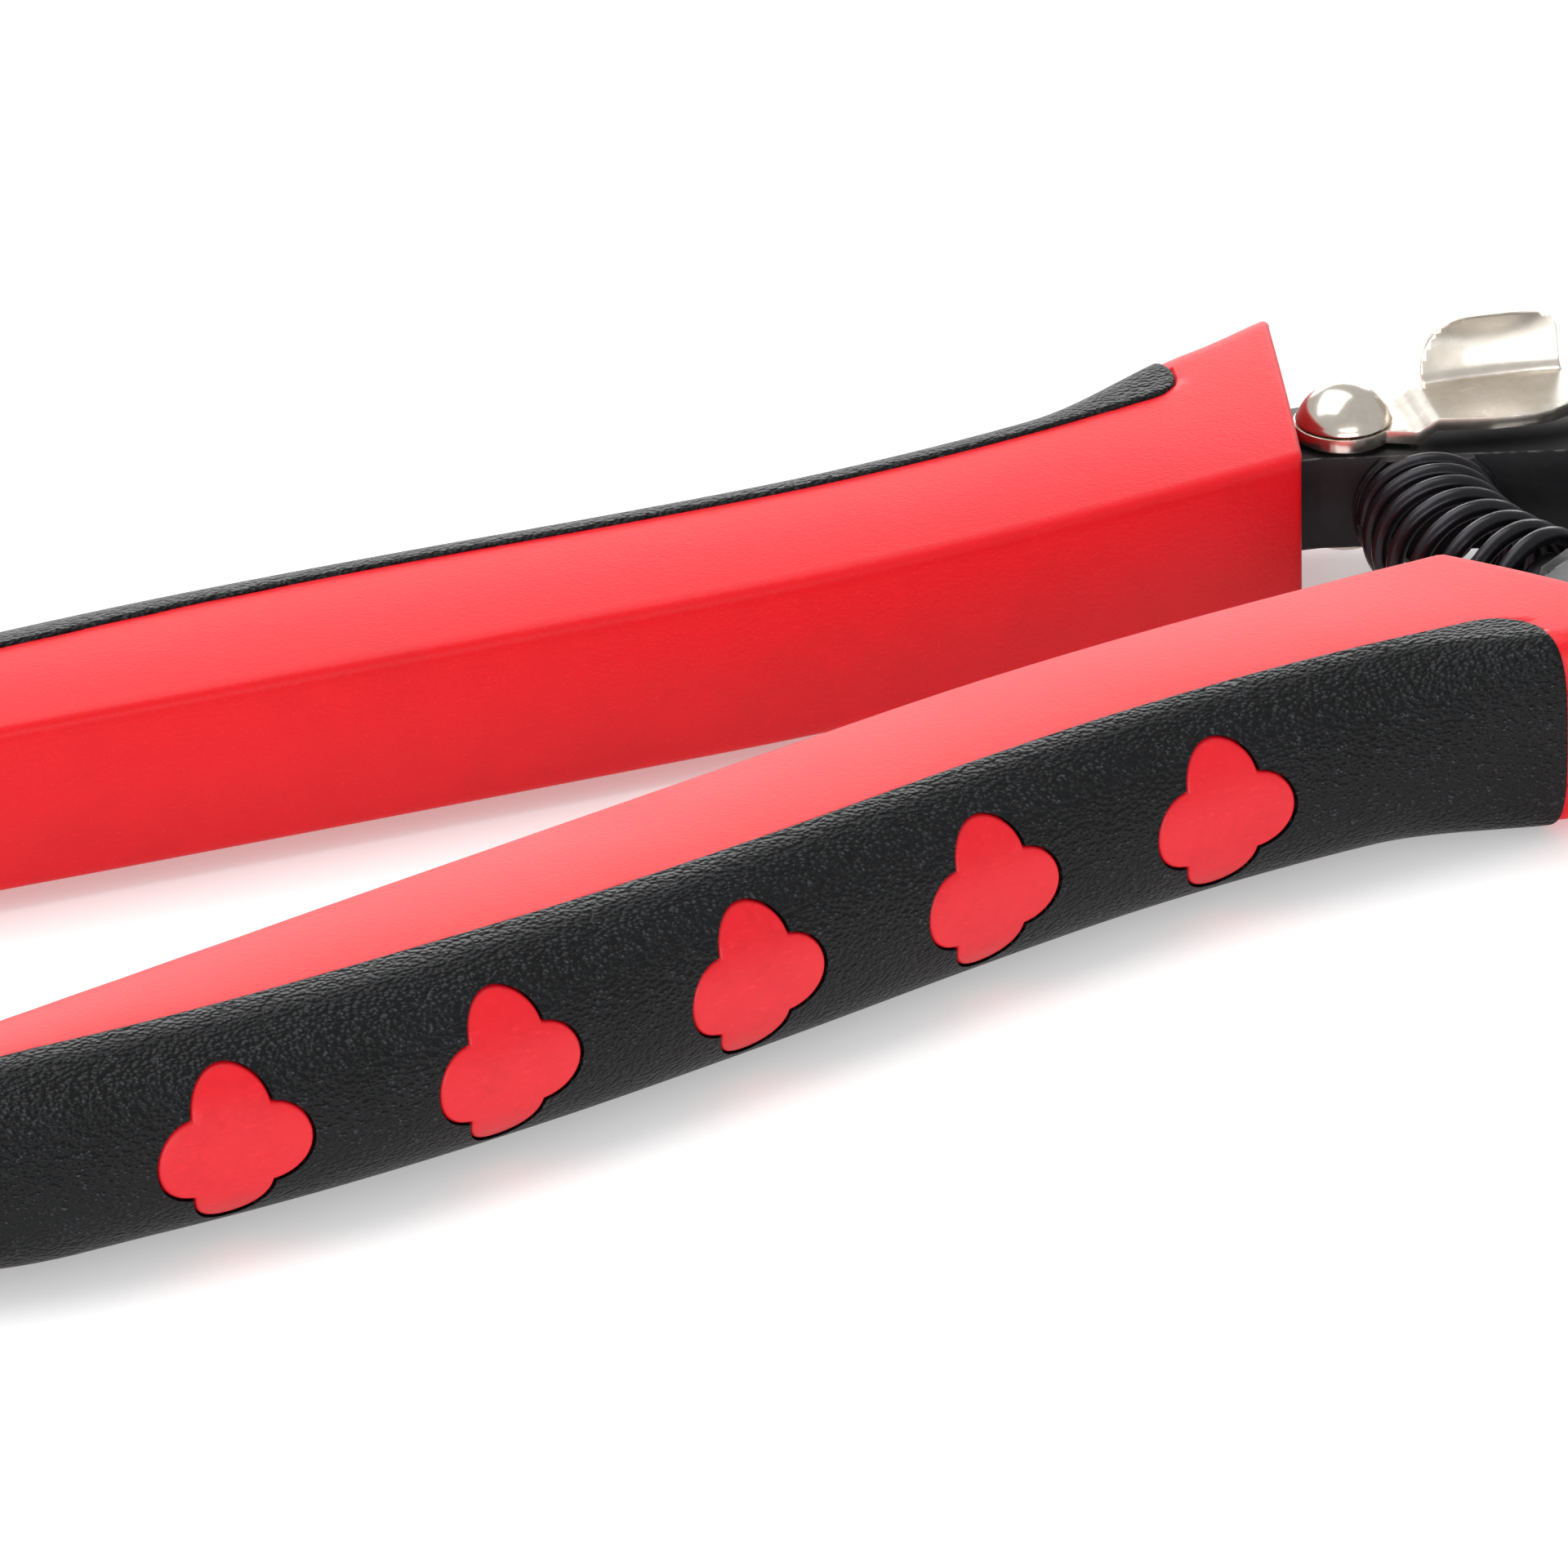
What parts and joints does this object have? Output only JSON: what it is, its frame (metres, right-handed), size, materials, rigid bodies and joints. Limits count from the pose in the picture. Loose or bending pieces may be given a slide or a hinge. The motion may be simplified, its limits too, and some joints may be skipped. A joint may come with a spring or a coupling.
{
  "type": "bolt cutters",
  "caption": "Compact spring-opened bolt cutters with two-tone moulded grips, a thumb latch, lapped handle pivot and linked cutting jaws.",
  "frame": {"origin": "centre of the handle pivot, on the tool's mid-plane", "axes": "+X runs to the jaw tips, +Y to the handle that carries the latch, +Z is the pivot axis and points up from the surface the tool lies on"},
  "size_m": [0.2566, 0.0896, 0.0221],
  "materials": {
    "red_plastic": "hard moulded red plastic with a fine satin grain",
    "black_soft_grip": "soft black overmould with a fine pebbled grain",
    "black_steel": "black oxide steel, satin",
    "spring_steel": "black oxide spring wire",
    "nickel_plate": "warm satin nickel plate",
    "bright_steel": "polished steel"
  },
  "bodies": {
    "far_handle": {"far_tang": "black_steel", "far_core": "red_plastic", "far_grip": "black_soft_grip", "far_key_pin": "bright_steel", "far_inlay_1": "red_plastic", "far_inlay_2": "red_plastic", "far_inlay_3": "red_plastic", "far_inlay_4": "red_plastic", "far_inlay_5": "red_plastic", "pivot_bolt": "black_steel", "pivot_nut": "black_steel", "far_tail_pin": "bright_steel", "latch_rivet": "bright_steel", "latch_washer": "bright_steel", "spring": "spring_steel", "far_spring_seat": "black_steel"},
    "near_handle": {"near_tang": "black_steel", "near_core": "red_plastic", "near_grip": "black_soft_grip", "near_key_pin": "bright_steel", "near_inlay_1": "red_plastic", "near_inlay_2": "red_plastic", "near_inlay_3": "red_plastic", "near_inlay_4": "red_plastic", "near_inlay_5": "red_plastic", "near_tail_pin": "bright_steel", "near_spring_seat": "black_steel", "keeper": "bright_steel"},
    "far_jaw": {"far_jaw": "black_steel"},
    "near_jaw": {"near_jaw": "black_steel"},
    "link_plates": {"upper_plate": "black_steel", "lower_plate": "black_steel", "far_jaw_bolt": "bright_steel", "near_jaw_bolt": "bright_steel", "far_jaw_nut": "bright_steel", "near_jaw_nut": "bright_steel"},
    "latch": {"latch": "nickel_plate"}
  },
  "joints": [
    {"name": "handle_pivot", "type": "hinge", "parent": "far_handle", "child": "near_handle", "pos_m": [0, 0, 0], "axis": [0, 0, -1], "range_deg": [-8, 12], "stiffness_Nm_per_rad": 2, "deforming": ["spring"]},
    {"name": "far_jaw_hinge", "type": "hinge", "parent": "far_handle", "child": "far_jaw", "pos_m": [0.011, 0.012, 0], "axis": [0, 0, -1], "range_deg": [-8.5, 12.7]},
    {"name": "near_jaw_hinge", "type": "hinge", "parent": "near_handle", "child": "near_jaw", "pos_m": [0.011, -0.012, 0], "axis": [0, 0, 1], "range_deg": [-8.5, 12.7]},
    {"name": "link_hinge", "type": "hinge", "parent": "far_jaw", "child": "link_plates", "pos_m": [0.021, 0.007, 0], "axis": [0, 0, 1], "range_deg": [-4.5, 6.7]},
    {"name": "latch_hinge", "type": "hinge", "parent": "far_handle", "child": "latch", "pos_m": [-0.0288, 0.0198, 0], "axis": [0, 0, -1], "range_deg": [-6, 67.4]}
  ],
  "couplings": [
    {"joint": "far_jaw_hinge", "follows": "handle_pivot", "ratio": 1.045},
    {"joint": "near_jaw_hinge", "follows": "handle_pivot", "ratio": 1.045},
    {"joint": "link_hinge", "follows": "handle_pivot", "ratio": 0.545}
  ]
}
